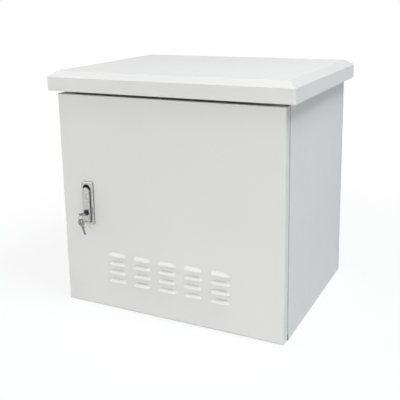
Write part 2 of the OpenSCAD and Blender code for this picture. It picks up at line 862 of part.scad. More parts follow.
module earth_nut() {
    color(brass) translate([earth_x, earth_y, sheet_t + earth_collar])
        hex_nut(earth_nut_af, earth_nut_h, earth_r + pin_clear);
}

// Hinge arm: a boss on the pin, a neck bent round the door's folded edge and a foot on the frame
module hinge_arm(z) {
    color(zinc) translate([pivot_x, pivot_y, z]) difference() {
        union() {
            cylinder(h = hinge_h, r = boss_r, center = true);
            linear_extrude(hinge_h, center = true) intersection() {
                fold_ring(neck_t, neck_in_r);
                polygon([[0, 0], wedge_r * [cos(neck_start), sin(neck_start)],
                    wedge_r * [cos(neck_end), sin(neck_end)]]);
            }
            rotate(web_angle) translate([0, -web_t / 2, -hinge_h / 2])
                cube([neck_in_r + neck_t / 2, web_t, hinge_h]);
            translate([foot_left, foot_front, -foot_h / 2])
                cube([foot_right - foot_left, foot_t, foot_h]);
        }
        cylinder(h = 2 * hinge_h, r = pin_r + pin_clear, center = true);
        for (side = [-1, 1])
            translate([foot_mid, foot_front - cut, side * hinge_screw_z]) to_y()
                cylinder(h = foot_t + 2 * cut, r = stud_r + pin_clear);
    }
}

module hinge_arm_upper() {
    hinge_arm(hinge_high);
}

module hinge_arm_lower() {
    hinge_arm(hinge_low);
}

// Places of the screws in the hinge feet
module at_hinge_screws() {
    for (z = [hinge_low, hinge_high], side = [-1, 1])
        translate([pivot_x + foot_mid, pivot_y, z + side * hinge_screw_z]) children();
}

module hinge_screws() {
    color(zinc) at_hinge_screws() translate([0, foot_front, 0]) rotate([90, 0, 0])
        button_screw(stud_r, foot_t + sheet_t + nut_h + 1, 1.8 * stud_r, 0.5 * stud_d);
}

module hinge_nuts() {
    color(zinc) at_hinge_screws() translate([0, foot_back + sheet_t, 0]) to_y()
        hex_nut(nut_af, nut_h, stud_r + pin_clear);
}

// Folded bracket inside the door's edge, with an ear above and below the hinge arm
module hinge_bracket(z) {
    ear_fold = ear_t + ear_bend_r;
    wall_x = hinge_edge - sheet_t;
    steps = [[wall_x + ear_reach - ear_fold, 90], [2 * (ear_half - ear_fold), 90],
        [wall_x + ear_reach - ear_fold, 0]];
    color(zinc) translate([pivot_x, pivot_y, z]) difference() {
        along_y(ear_depth)
            translate([-ear_reach, -ear_half]) folded(steps, ear_t, ear_bend_r);
        cylinder(h = 4 * ear_half, r = pin_r + pin_clear, center = true);
    }
}

module hinge_bracket_upper() {
    hinge_bracket(hinge_high);
}

module hinge_bracket_lower() {
    hinge_bracket(hinge_low);
}

module hinge_pin(z) {
    color(zinc) translate([pivot_x, pivot_y, z - ear_half - pin_head_h]) {
        cylinder(h = 2 * ear_half + pin_head_h, r = pin_r);
        translate([0, 0, 2 * ear_half + pin_head_h]) cylinder(h = pin_head_h, r = pin_head_r);
    }
}

module hinge_pin_upper() {
    hinge_pin(hinge_high);
}

module hinge_pin_lower() {
    hinge_pin(hinge_low);
}

// Half section of a capsule about Z
module capsule_section(r) {
    intersection() {
        union() {
            square([2 * r, 2 * hood_half], center = true);
            for (z = [-1, 1]) translate([0, z * hood_half]) circle(r);
        }
        translate([0, -hood_half - r]) square([r, 2 * (hood_half + r)]);
    }
}

module at_louvres() {
    for (c = [0 : louvre_cols - 1], r = [0 : louvre_rows - 1])
        translate([(c - (louvre_cols - 1) / 2) * louvre_pitch_x, door_face,
            door_lift + louvre_up + r * louvre_pitch_z]) children();
}

// Pressed hood that stands out of the door's face and opens downwards
module louvre_hood() {
    intersection() {
        translate([0, hood_in, -hood_low]) to_x() rotate_extrude() difference() {
            capsule_section(louvre_r);
            capsule_section(louvre_r - sheet_t);
        }
        translate([-louvre_l, -2 * louvre_out, 0]) cube([2 * louvre_l, 2 * louvre_out, 2 * louvre_h]);
    }
}

// Opening in the sheet behind a hood
module louvre_opening() {
    intersection() {
        translate([0, hood_in, -hood_low]) to_x() rotate_extrude() capsule_section(louvre_r - sheet_t);
        translate([-louvre_l, -louvre_out, 0])
            cube([2 * louvre_l, louvre_out + 2 * sheet_t, 2 * louvre_h]);
    }
}

module door_pan() {
    translate([0, door_face, door_mid]) difference() {
        soft_block(body_w, door_t, door_h, fold_in_r, door_corner_r);
        translate([0, sheet_t, 0])
            soft_block(body_w - 2 * sheet_t, door_t, door_h - 2 * sheet_t, bend_r, door_corner_r - sheet_t);
    }
}

module door_panel() {
    color(paint) union() {
        difference() {
            door_pan();
            at_louvres() louvre_opening();
            translate([lock_x, door_face, plate_mid]) along_y(4 * sheet_t)
                round_rect(base_w + 2 * cut_clear, base_h + 2 * cut_clear, 1);
        }
        at_louvres() louvre_hood();
        at_filter_studs() translate([0, -sheet_t / 2, 0]) to_y()
            cylinder(h = filter_stud_l + sheet_t / 2, r = stud_r);
    }
}

// Foam seal on the door's inside, opposite the gutter
module door_seal() {
    mid_w = 2 * open_half + sheet_t;
    mid_h = open_high - open_low + sheet_t;
    color(black_rubber) translate([0, door_inner + seal_t / 2, (open_low + open_high) / 2])
        along_y(seal_t) difference() {
            round_rect(mid_w + seal_w, mid_h + seal_w, seal_w);
            square([mid_w - seal_w, mid_h - seal_w], center = true);
        }
}

// Places of the filter's studs on the door's inner face
module at_filter_studs() {
    for (x = [-1, 1], z = [-1, 1])
        translate([x * filter_stud_x, door_inner, filter_z + z * filter_stud_z]) children();
}

// Tray that holds the filter mat against the door
module filter_frame() {
    outer_w = filter_w + 2 * filter_sheet;
    outer_h = filter_h + 2 * filter_sheet;
    window_w = (filter_w - 4 * filter_rim) / 3;
    color(zinc) difference() {
        union() {
            translate([0, door_inner, filter_z]) difference() {
                translate([-outer_w / 2, 0, -outer_h / 2])
                    cube([outer_w, filter_t + filter_sheet, outer_h]);
                translate([-filter_w / 2, -cut, -filter_h / 2])
                    cube([filter_w, filter_t + cut, filter_h]);
                for (i = [-1 : 1])
                    translate([i * (window_w + filter_rim), filter_t, 0]) along_y(4 * filter_sheet)
                        round_rect(window_w, filter_h - 2 * filter_rim, filter_rim / 2);
            }
            at_filter_studs() translate([0, filter_sheet / 2, 0])
                cube([filter_tab, filter_sheet, filter_tab], center = true);
        }
        at_filter_studs() to_y() cylinder(h = 4 * filter_sheet, r = stud_r + pin_clear, center = true);
    }
}

module filter_mat() {
    color([0.25, 0.27, 0.28]) translate([-filter_w / 2, door_inner, filter_z - filter_h / 2])
        cube([filter_w, filter_t, filter_h]);
}

module filter_nuts() {
    color(zinc) at_filter_studs() translate([0, filter_sheet, 0]) to_y()
        hex_nut(nut_af, nut_h, stud_r + pin_clear);
}

// Frame of the lock: the door's face is Y = 0 and the spindle's axis passes through Z = 0
module lock_frame() {
    translate([lock_x, door_face, spindle_z]) children();
}

// Pocket for the fingers behind the lever, as deep on both sides of the door's face
module lock_pocket(depth) {
    translate([lock_x - pocket_shift, door_face, 0]) along_y(2 * depth) {
        translate([0, pocket_z]) circle(pocket_r);
        translate([-pocket_r, spindle_z - pocket_low])
            square([2 * pocket_r, pocket_z - spindle_z + pocket_low]);
    }
}

module lock_plate() {
    color(satin_chrome) difference() {
        union() {
            translate([lock_x, door_face - plate_t, plate_mid])
                soft_block(plate_w, plate_t - gasket_t, plate_h, plate_edge_r, plate_r);
            translate([lock_x, door_face - plate_t / 2, plate_mid]) along_y(plate_t)
                round_rect(base_w, base_h, 1);
        }
        lock_pocket(2 * plate_t);
    }
}

// Rubber ring between the plate's rim and the door's face
module lock_gasket() {
    color(black_rubber) translate([lock_x, door_face - gasket_t / 2, plate_mid])
        along_y(gasket_t) difference() {
            round_rect(plate_w, plate_h, plate_r);
            round_rect(base_w + 2 * cut_clear, base_h + 2 * cut_clear, 1);
        }
}

module at_lock_screws() {
    for (side = [-1, 1])
        translate([lock_x, door_face, plate_mid + side * lock_screw_z]) children();
}

module lock_base() {
    color(black_plastic) difference() {
        translate([lock_x, door_face + base_d / 2, plate_mid]) along_y(base_d)
            round_rect(base_w, base_h, 1);
        lock_frame() to_y() cylinder(h = 4 * base_d, r = spindle_r + pin_clear, center = true);
        lock_pocket(pocket_depth);
        at_lock_screws() translate([0, base_d - lock_screw_in - 0.5, 0]) to_y()
            cylinder(h = base_d, r = lock_screw_d / 2 + pin_clear);
    }
}

// Folded clamp that pulls the lock against the door from inside
module lock_clamp() {
    clamp_fold = clamp_t + clamp_bend_r;
    leg_run = base_d - sheet_t + clamp_t - 2 * clamp_fold;
    steps = [[clamp_foot, 90], [leg_run, -90], [2 * (clamp_leg - clamp_fold), -90], [leg_run, 90],
        [clamp_foot, 0]];
    start_z = -clamp_leg - clamp_foot - clamp_bend_r;
    color(zinc) difference() {
        translate([lock_x, door_inner, plate_mid]) along_x(clamp_w)
            mirror([1, -1]) translate([start_z, 0]) folded(steps, clamp_t, clamp_bend_r);
        lock_frame() to_y() cylinder(h = 4 * base_d, r = spindle_r + 1, center = true);
        at_lock_screws() to_y()
            cylinder(h = 4 * base_d, r = lock_screw_d / 2 + pin_clear, center = true);
    }
}

module lock_screws() {
    color(zinc) at_lock_screws() translate([0, base_d + clamp_t, 0]) rotate([-90, 0, 0])
        button_screw(lock_screw_d / 2, clamp_t + lock_screw_in, lock_screw_d, lock_screw_d / 2);
}

// Spindle: an eye for the lever's pin, a shaft and a square end
module lock_spindle() {
    color(zinc) lock_frame() difference() {
        union() {
            translate([0, lever_pin_y, 0]) to_x() cylinder(h = eye_w, r = eye_r, center = true);
            translate([-eye_w / 2, lever_pin_y, -eye_r]) cube([eye_w, -lever_pin_y, 2 * eye_r]);
            translate([0, -plate_t, 0]) to_y()
                cylinder(h = plate_t + base_d + clamp_t + 1, r = spindle_r);
            translate([-spindle_sq / 2, 0, -spindle_sq / 2]) cube([spindle_sq, tongue_back, spindle_sq]);
        }
        translate([0, lever_pin_y, 0]) to_x()
            cylinder(h = 2 * eye_w, r = lever_pin_r + pin_clear, center = true);
        translate([0, tongue_back - 3 * tongue_screw_d, 0]) to_y()
            cylinder(h = 4 * tongue_screw_d, r = tongue_screw_d / 2 + pin_clear);
    }
}

module latch_tongue() {
    heel = tongue_w / 2;
    color(zinc) lock_frame() translate([0, (tongue_front + tongue_back) / 2, 0])
        along_y(tongue_t) difference() {
            union() {
                circle(heel);
                translate([-tongue_l + tongue_w / 4, -heel]) square([tongue_l - tongue_w / 4, tongue_w]);
                translate([-tongue_l, -heel / 2]) square([tongue_l, heel]);
                for (side = [-1, 1])
                    translate([-tongue_l + heel / 2, side * heel / 2]) circle(heel / 2);
            }
            square(spindle_sq + 2 * pin_clear, center = true);
        }
}

module tongue_screw() {
    color(zinc) lock_frame() translate([0, tongue_back, 0]) to_y() {
        cylinder(h = 1.5, r = 1.7 * tongue_screw_d);
        translate([0, 0, 1.5]) cylinder(h = 3.5, d = 1.6 * tongue_screw_d / cos(30), $fn = 6);
        translate([0, 0, -2 * tongue_screw_d]) cylinder(h = 2 * tongue_screw_d + 1, r = tongue_screw_d / 2);
    }
}

// Lever with a round tip, a bevel towards it and a round heel about its pin
module lever() {
    slot_half = slot_w / 2;
    color(satin_chrome) lock_frame() difference() {
        intersection() {
            translate([0, (lever_back + lever_front) / 2, 0]) along_y(2 * lever_t) {
                translate([-lever_w / 2, -2 * heel_r])
                    square([lever_w, lever_l - lever_w / 2 + 2 * heel_r]);
                translate([0, lever_l - lever_w / 2]) circle(lever_w / 2);
            }
            translate([0, lever_back, lever_l / 2]) linear_extrude(2 * lever_l, center = true)
                round_rect(lever_w, 2 * lever_t, lever_edge_r);
            along_x(2 * lever_w) {
                translate([lever_pin_y, 0]) circle(heel_r);
                polygon([[lever_back, 0], [lever_back, lever_l], [lever_tip_front, lever_l],
                    [lever_front, lever_l - lever_bevel], [lever_front, 0]]);
            }
        }
        translate([0, lever_pin_y, 0]) to_x() cylinder(h = slot_w, r = slot_r, center = true);
        translate([-slot_half, lever_pin_y - slot_front, -2 * heel_r])
            cube([slot_w, slot_front + 2 * heel_r, 2 * heel_r + slot_r]);
        translate([0, lever_pin_y, 0]) to_x()
            cylinder(h = 2 * lever_w, r = lever_pin_r + pin_clear, center = true);
        translate([0, lever_front - cut, barrel_up]) to_y()
            cylinder(h = lever_t + 2 * cut, r = barrel_r + pin_clear);
    }
}

module lever_pin() {
    color(zinc) lock_frame() translate([0, lever_pin_y, 0]) to_x()
        cylinder(h = lever_w - 0.4, r = lever_pin_r, center = true);
}

module lock_barrel() {
    color(black_plastic) lock_frame() translate([0, barrel_front, barrel_up]) to_y() difference() {
        union() {
            cylinder(h = barrel_proud, r = barrel_r + barrel_rim);
            cylinder(h = barrel_proud + lever_t, r = barrel_r);
        }
        translate([0, 0, -cut]) cylinder(h = lever_t + barrel_proud + 2 * cut, r = plug_r + pin_clear);
    }
}

module lock_plug() {
    slot_w = key_blade_w + 2 * key_clear;
    slot_h = key_t + 2 * key_clear;
    color(black_plastic) lock_frame() translate([0, barrel_front, barrel_up]) difference() {
        to_y() cylinder(h = lever_t + barrel_proud, r = plug_r);
        translate([-slot_w / 2, -cut, -slot_h / 2]) cube([slot_w, lever_t + cut, slot_h]);
    }
}

// Flat key along +Y with the middle of its bow's hole at the origin
module key_form(blade_l) {
    linear_extrude(key_t, center = true) difference() {
        union() {
            translate([0, bow_mid]) circle(bow_r);
            translate([-key_neck_w / 2, neck_low]) square([key_neck_w, key_stop - neck_low]);
            translate([-key_blade_w / 2, key_stop - cut]) square([key_blade_w, blade_l - 1 + cut]);
            translate([-key_blade_w / 4, key_stop]) square([key_blade_w / 2, blade_l]);
        }
        circle(bow_hole_r);
        for (b = bitting) translate([key_blade_w / 2, key_stop + b[0]])
            polygon([[-b[1], -0.5], [-b[1], 0.5], [cut, b[1] + 0.5 + cut], [cut, -b[1] - 0.5 - cut]]);
    }
}

module key() {
    color(zinc) translate([lock_x, door_face + key_y, key_z]) key_form(lever_t - 1);
}

module key_ring() {
    color(zinc) translate([lock_x, door_face + ring_y, ring_z]) to_x() rotate_extrude()
        translate([ring_r, 0]) circle(ring_wire_r);
}

module spare_key() {
    color(zinc) translate([lock_x, door_face + ring_y, spare_z]) rotate([0, -spare_tilt, 0])
        rotate([-90, 0, 0]) key_form(key_blade_l);
}

side_panel_left();
side_panel_right();
rear_panel();
top_panel();
base_panel();
roof();
roof_spacers();
roof_bolts();
roof_nuts();
gland_plate();
gland_gasket();
gland_nuts();
cable_grommets();
depth_bar_lower_left();
depth_bar_lower_right();
depth_bar_upper_left();
depth_bar_upper_right();
rack_rail_front_left();
rack_rail_front_right();
rack_rail_rear_left();
rack_rail_rear_right();
rail_bolts();
rail_nuts();
earth_stud();
earth_nut();
hinge_arm_upper();
hinge_arm_lower();
hinge_screws();
hinge_nuts();
door_panel();
door_seal();
filter_frame();
filter_mat();
filter_nuts();
hinge_bracket_upper();
hinge_bracket_lower();
hinge_pin_upper();
hinge_pin_lower();
lock_plate();
lock_gasket();
lock_base();
lock_clamp();
lock_screws();
lock_spindle();
latch_tongue();
tongue_screw();
lever();
lever_pin();
lock_barrel();
lock_plug();
key();
key_ring();
spare_key();
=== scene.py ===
import json
import math

import bpy
from mathutils import Matrix, Vector


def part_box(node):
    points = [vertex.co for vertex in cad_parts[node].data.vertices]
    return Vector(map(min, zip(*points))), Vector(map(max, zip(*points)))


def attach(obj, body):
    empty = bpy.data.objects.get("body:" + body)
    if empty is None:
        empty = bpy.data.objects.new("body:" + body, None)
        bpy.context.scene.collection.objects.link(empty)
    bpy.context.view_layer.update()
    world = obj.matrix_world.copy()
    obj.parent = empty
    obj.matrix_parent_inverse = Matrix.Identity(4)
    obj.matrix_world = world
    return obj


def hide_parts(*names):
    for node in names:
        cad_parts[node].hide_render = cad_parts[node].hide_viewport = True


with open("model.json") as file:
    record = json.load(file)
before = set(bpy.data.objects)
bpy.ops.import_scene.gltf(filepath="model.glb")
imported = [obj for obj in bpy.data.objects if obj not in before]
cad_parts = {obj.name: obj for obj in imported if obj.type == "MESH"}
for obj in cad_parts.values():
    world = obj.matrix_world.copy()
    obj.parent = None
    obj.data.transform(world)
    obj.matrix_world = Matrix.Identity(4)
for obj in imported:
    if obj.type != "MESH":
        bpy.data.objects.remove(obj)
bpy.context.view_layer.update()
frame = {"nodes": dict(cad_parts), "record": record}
nodes = frame["nodes"]
scene = bpy.context.scene

WHITE = (1.0, 1.0, 1.0)

# Camera, in metres, degrees and lens millimetres, matched to the photograph's corners
CAMERA_AT = (0.7472, -1.5599, 0.7856)
CAMERA_AZIMUTH = 26.50
CAMERA_ELEVATION = 12.37
CAMERA_ROLL = -1.00
CAMERA_LENS = 59.41
CAMERA_SENSOR = 36.0
CAMERA_SHIFT = -0.15
CAMERA_REACH = 50.0

# Floor, just under the cabinet, with a faint shadow that fades out between two distances
FLOOR_Z = -0.0005
FLOOR_HALF = 12.0
FLOOR_COLOUR = (0.86, 0.88, 0.90)
FLOOR_WHITE_SHARE = 0.85
SHADOW_FADES_FROM = 0.5
SHADOW_ENDS_AT = 1.3

# Light: a faint even fill, and what several lamps share
FILL_LIGHT = (0.01, 0.01, 0.01)
BODY_MIDDLE = (0.0, 0.0, 0.3)
WARM_WHITE = (1.0, 0.985, 0.96)

# Patterns: where most of a noise lies, and what counts as a sharp edge (cosine of the turn)
NOISE_LOW = 0.3
NOISE_HIGH = 0.7
EDGE_STARTS = 0.995
EDGE_FULL = 0.90
BEVEL_SAMPLES = 4
GAP_SAMPLES = 6

# Paint: its two tones, its wear and painted highlight at folds, painted light on the louvres' hoods, and
# painted shade in its gaps
PAINT_LOW = (0.632, 0.632, 0.618)
PAINT_HIGH = (0.656, 0.656, 0.642)
PAINT_WEAR_AND_SHEEN = (0.76, 0.76, 0.75)
PAINT_HOOD_LIGHT = (0.72, 0.72, 0.71)
PAINT_SPECK = (0.985, 0.985, 0.985)
PAINTED_SHADE = (0.05, 0.05, 0.05)

# Gaps that get painted shade: reach, and the free share of the surroundings at no and at full painted
# shade
PANEL_GAP = (0.010, 0.66, 0.42)
ROOF_GAP = (0.060, 0.80, 0.45)
SEAM_GAP = (0.020, 1.0, 0.75)

# How far the louvres stand proud of the door's face
LOUVRE_OUT = 0.006

# Depths behind the louvres' front, as shares of that, where the painted light on the hoods starts and is
# full
HOOD_LIGHT_STARTS = 0.9
HOOD_LIGHT_FULL = 0.6

# Front folds: outer radius of their bends, and the width over which the painted shade fades in
FOLD = 0.003
FADE = 0.001

# Foam bead round the door: size, spacing of its sections and points in each half round
BEAD_W = 0.012
BEAD_CORNER_R = 0.0065
BEAD_CORNER_STEPS = 8
BEAD_STEP = 0.006
BEAD_POINTS = 15

# Section of the bead: shares of the CAD strip's width and height, and powers that square off the dome
BEAD_HALF_SHARE = 0.47
BEAD_RISE_SHARE = 0.955
DOME_SIDE_POWER = 0.75
DOME_TOP_POWER = 0.6

# Unevenness of the bead: size, pace and start of each wave, how far it shows, and the pressed line
BEAD_WAVES = ((1.0, 0.37, 0.0), (0.6, 0.91, 1.0), (0.4, 1.73, 2.0))
WAVE_OUT = 0.00012
WAVE_UP = 0.00018
PRESS_DEPTH = 0.0006
PRESS_HALF_SHARE = 0.25

# Filter mat: its grid, its soft rim and the size of a lump
MAT_COLUMNS = 120
MAT_ROWS = 34
MAT_RIM_DIP = 0.0028
MAT_RIM_W = 0.006
MAT_LUMP = 0.00012

# Lumps of the mat: three waves in radians per metre, two of which sway, and the number of waves
LUMP_X = 190
LUMP_X_SWAY = 3
LUMP_X_SWAY_PACE = 70
LUMP_Z = 240
LUMP_Z_SWAY = 2
LUMP_Z_SWAY_PACE = 110
LUMP_CROSS_X = 410
LUMP_CROSS_Z = 330
LUMP_WAVES = 3.0


# Stage


def add_node(tree, kind, **inputs):
    """A new shader node with the named inputs set; an underscore stands for a space."""
    node = tree.nodes.new(kind)
    for name, value in inputs.items():
        node.inputs[name.replace("_", " ")].default_value = value
    return node


def make_camera():
    data = bpy.data.cameras.new("camera")
    data.sensor_width = CAMERA_SENSOR
    data.lens = CAMERA_LENS
    data.shift_y = CAMERA_SHIFT
    data.clip_end = CAMERA_REACH
    camera = bpy.data.objects.new("camera", data)
    scene.collection.objects.link(camera)
    a = math.radians(CAMERA_AZIMUTH)
    e = math.radians(CAMERA_ELEVATION)
    back = Vector((math.sin(a) * math.cos(e), -math.cos(a) * math.cos(e), math.sin(e)))
    turn = (-back).to_track_quat("-Z", "Y").to_matrix().to_4x4()
    roll = Matrix.Rotation(math.radians(CAMERA_ROLL), 4, "Z")
    camera.matrix_world = Matrix.Translation(CAMERA_AT) @ turn @ roll
    scene.camera = camera


def make_area(name, at, aim, size, energy, colour=WHITE, mirrored=True):
    """A soft lamp, which shows in reflections unless mirrored is False."""
    data = bpy.data.lights.new(name, "AREA")
    data.shape = "RECTANGLE"
    data.size, data.size_y = size
    data.energy = energy
    data.color = colour
    light = bpy.data.objects.new(name, data)
    light.visible_glossy = mirrored
    scene.collection.objects.link(light)
    way = Vector(aim) - Vector(at)
    turn = way.to_track_quat("-Z", "Y").to_matrix().to_4x4()
    light.matrix_world = Matrix.Translation(at) @ turn


def seen_or_mirrored(tree):
    """1 for what the camera sees directly, in a mirror or through glass, and 0 for other light."""
    path = add_node(tree, "ShaderNodeLightPath")
    total = path.outputs["Is Camera Ray"]
    for name in ("Is Glossy Ray", "Is Transmission Ray"):
        top = add_node(tree, "ShaderNodeMath")
        top.operation = "MAXIMUM"
        tree.links.new(total, top.inputs[0])
        tree.links.new(path.outputs[name], top.inputs[1])
        total = top.outputs["Value"]
    return total


def mix_surface(tree, share, lit, white, out):
    """Shows the white shader by the given share, and the lit one for the rest."""
    mix = add_node(tree, "ShaderNodeMixShader")
    tree.links.new(share, mix.inputs["Fac"])
    tree.links.new(lit, mix.inputs[1])
    tree.links.new(white, mix.inputs[2])
    tree.links.new(mix.outputs["Shader"], out.inputs["Surface"])


def make_world(light):
    """Faint even light on the object, with a white background."""
    world = bpy.data.worlds.new("studio")
    scene.world = world
    world.use_nodes = True
    tree = world.node_tree
    tree.nodes.clear()
    out = add_node(tree, "ShaderNodeOutputWorld")
    lit = add_node(tree, "ShaderNodeBackground", Color=(*light, 1.0))
    white = add_node(tree, "ShaderNodeBackground", Color=(*WHITE, 1.0))
    share = seen_or_mirrored(tree)
    mix_surface(tree, share, lit.outputs["Background"], white.outputs["Background"], out)


def floor_finish(colour, white_share):
    """Matt colour under a share of plain white, which grows to all white away from the cabinet."""
    mat = bpy.data.materials.new("floor")
    mat.use_nodes = True
    tree = mat.node_tree
    tree.nodes.clear()
    out = add_node(tree, "ShaderNodeOutputMaterial")
    place = add_node(tree, "ShaderNodeTexCoord")
    away = add_node(tree, "ShaderNodeVectorMath")
    away.operation = "LENGTH"
    tree.links.new(place.outputs["Object"], away.inputs[0])
    fade = add_node(
        tree,
        "ShaderNodeMapRange",
        From_Min=SHADOW_FADES_FROM,
        From_Max=SHADOW_ENDS_AT,
        To_Min=white_share,
        To_Max=1.0,
    )
    fade.interpolation_type = "SMOOTHSTEP"
    tree.links.new(away.outputs["Value"], fade.inputs["Value"])
    share = add_node(tree, "ShaderNodeMath")
    share.operation = "MULTIPLY"
    tree.links.new(seen_or_mirrored(tree), share.inputs[0])
    tree.links.new(fade.outputs["Result"], share.inputs[1])
    lit = add_node(tree, "ShaderNodeBsdfDiffuse", Color=(*colour, 1.0))
    white = add_node(tree, "ShaderNodeEmission", Color=(*WHITE, 1.0))
    mix_surface(tree, share.outputs["Value"], lit.outputs["BSDF"], white.outputs["Emission"], out)
    return mat


def make_floor(half, finish):
    """Pale floor that is nearly white to the camera and keeps a faint shadow."""
    corners = ((-half, -half), (half, -half), (half, half), (-half, half))
    mesh = bpy.data.meshes.new("floor")
    mesh.from_pydata([(x, y, FLOOR_Z) for x, y in corners], [], [(0, 1, 2, 3)])
    mesh.materials.append(finish)
    floor = bpy.data.objects.new("floor", mesh)
    scene.collection.objects.link(floor)


# Materials


class Shader:
    """One procedural material with coordinates fixed to the cabinet, in metres."""

    def __init__(self, name):
        self.mat = bpy.data.materials.new(name)
        self.mat.use_nodes = True
        self.tree = self.mat.node_tree
        self.bsdf = self.tree.nodes["Principled BSDF"]
        self.place = self.add("ShaderNodeTexCoord").outputs["Object"]

    def add(self, kind, **inputs):
        return add_node(self.tree, kind, **inputs)

    def link(self, a, b):
        self.tree.links.new(a, b)

    def feed(self, name, value):
        """Gives one input of the surface a pattern."""
        self.link(value, self.bsdf.inputs[name])

    def noise(self, scale, detail=2.0, rough=0.5, stretch=None):
        """Cloudy pattern, drawn out along the axes where stretch is small."""
        at = self.place
        if stretch:
            mapping = self.add("ShaderNodeMapping", Scale=stretch)
            self.link(at, mapping.inputs["Vector"])
            at = mapping.outputs["Vector"]
        node = self.add("ShaderNodeTexNoise", Scale=scale, Detail=detail, Roughness=rough)
        self.link(at, node.inputs["Vector"])
        return node.outputs["Fac"]

    def cells(self, scale):
        """Outputs of a pattern of cells: a Color for each, and the Distance from its middle."""
        node = self.add("ShaderNodeTexVoronoi", Scale=scale)
        self.link(self.place, node.inputs["Vector"])
        return node.outputs

    def between(self, fac, low, high, start=NOISE_LOW, end=NOISE_HIGH):
        """Colour from low to high as fac goes from start to end."""
        ramp = self.add("ShaderNodeValToRGB")
        ramp.color_ramp.elements[0].position = start
        ramp.color_ramp.elements[0].color = (*low, 1.0)
        ramp.color_ramp.elements[1].position = end
        ramp.color_ramp.elements[1].color = (*high, 1.0)
        self.link(fac, ramp.inputs["Fac"])
        return ramp.outputs["Color"]

    def remap(self, fac, start, end, low=0.0, high=1.0):
        """Number from low to high as fac goes from start to end."""
        node = self.add("ShaderNodeMapRange", From_Min=start, From_Max=end, To_Min=low, To_Max=high)
        self.link(fac, node.inputs["Value"])
        return node.outputs["Result"]

    def range(self, fac, low, high):
        """Number from low to high over most of a noise."""
        return self.remap(fac, NOISE_LOW, NOISE_HIGH, low, high)

    def blend(self, a, b, kind, fac=1.0):
        """Mixes two colours; each input is a socket or a fixed value."""
        node = self.add("ShaderNodeMixRGB")
        node.blend_type = kind
        for name, value in (("Fac", fac), ("Color1", a), ("Color2", b)):
            if isinstance(value, bpy.types.NodeSocket):
                self.link(value, node.inputs[name])
            elif isinstance(value, tuple):
                node.inputs[name].default_value = (*value, 1.0)
            else:
                node.inputs[name].default_value = value
        return node.outputs["Color"]

    def times(self, a, b):
        node = self.add("ShaderNodeMath")
        node.operation = "MULTIPLY"
        self.link(a, node.inputs[0])
        self.link(b, node.inputs[1])
        return node.outputs["Value"]

    def round_edges(self, radius):
        """Normal with sharp edges rounded to the given radius."""
        node = self.add("ShaderNodeBevel", Radius=radius)
        node.samples = BEVEL_SAMPLES
        return node.outputs["Normal"]

    def edges(self, radius):
        """1 at sharp edges and 0 on flat faces."""
        flat = self.add("ShaderNodeNewGeometry").outputs["True Normal"]
        dot = self.add("ShaderNodeVectorMath")
        dot.operation = "DOT_PRODUCT"
        self.link(self.round_edges(radius), dot.inputs[0])
        self.link(flat, dot.inputs[1])
        return self.remap(dot.outputs["Value"], EDGE_STARTS, EDGE_FULL)

    def crevice(self, reach, open_share, shut_share):
        """1 deep in a narrow gap and 0 in the open, by the free share of the surroundings."""
        near = self.add("ShaderNodeAmbientOcclusion", Distance=reach)
        near.samples = GAP_SAMPLES
        return self.remap(near.outputs["AO"], open_share, shut_share)

    def beyond(self, axis, start, end):
        """0 up to start and 1 past end along an axis."""
        split = self.add("ShaderNodeSeparateXYZ")
        self.link(self.place, split.inputs["Vector"])
        return self.remap(split.outputs[axis], start, end)

    def bump(self, height, strength, distance, normal=None):
        node = self.add("ShaderNodeBump", Strength=strength, Distance=distance)
        self.link(height, node.inputs["Height"])
        if normal is not None:
            self.link(normal, node.inputs["Normal"])
        self.feed("Normal", node.outputs["Normal"])

    def make_metal(self):
        self.bsdf.inputs["Metallic"].default_value = 1.0


def powder_coat(name, gap, limits=(), hood_light=None):
    """Light grey textured paint: paler along folds from wear and a painted highlight, paler in an
    optional zone from painted light, and darker in gaps within limits from painted shade.
    """
    s = Shader(name)
    tone = s.between(s.noise(scale=3.0), PAINT_LOW, PAINT_HIGH)
    speck = s.between(s.noise(scale=260.0, detail=3.0), PAINT_SPECK, WHITE)
    tone = s.blend(tone, speck, "MULTIPLY")
    patchy = s.range(s.noise(scale=70.0, detail=4.0, rough=0.6), low=0.25, high=0.85)
    # Paler along folds: partly wear of the paint, partly a painted highlight
    wear_and_sheen = s.times(s.edges(radius=0.0012), patchy)
    tone = s.blend(tone, PAINT_WEAR_AND_SHEEN, "MIX", wear_and_sheen)
    # Painted light: paler where the louvres' hoods stand proud
    if hood_light:
        tone = s.blend(tone, PAINT_HOOD_LIGHT, "MIX", s.beyond(*hood_light))
    # Painted shade: darker deep in narrow gaps, down to near-black
    gap_shade = s.crevice(*gap)
    for limit in limits:
        gap_shade = s.times(gap_shade, s.beyond(*limit))
    s.feed("Base Color", s.blend(tone, PAINTED_SHADE, "MIX", gap_shade))
    s.feed("Roughness", s.range(s.noise(scale=40.0), low=0.40, high=0.48))
    peel = s.noise(scale=900.0, detail=1.0)
    s.bump(peel, strength=0.08, distance=0.0003, normal=s.round_edges(radius=0.0007))
    return s.mat


def plated(name, low, high, rough, scale, peel=0.03):
    """Plated metal: tone and gloss vary in patches, with edges brighter from wear and a painted
    highlight.
    """
    s = Shader(name)
    tone = s.between(s.noise(scale, detail=3.0), low, high)
    bright = tuple(min(1.0, 1.25 * v) for v in high)
    # Brighter edges: partly wear, partly a painted highlight
    s.feed("Base Color", s.blend(tone, bright, "MIX", s.edges(radius=0.0005)))
    s.feed("Roughness", s.range(s.noise(scale * 4.0, detail=3.0), *rough))
    s.make_metal()
    grain = s.noise(scale * 3.0, detail=2.0)
    s.bump(grain, strength=peel, distance=0.0004, normal=s.round_edges(radius=0.0003))
    return s.mat


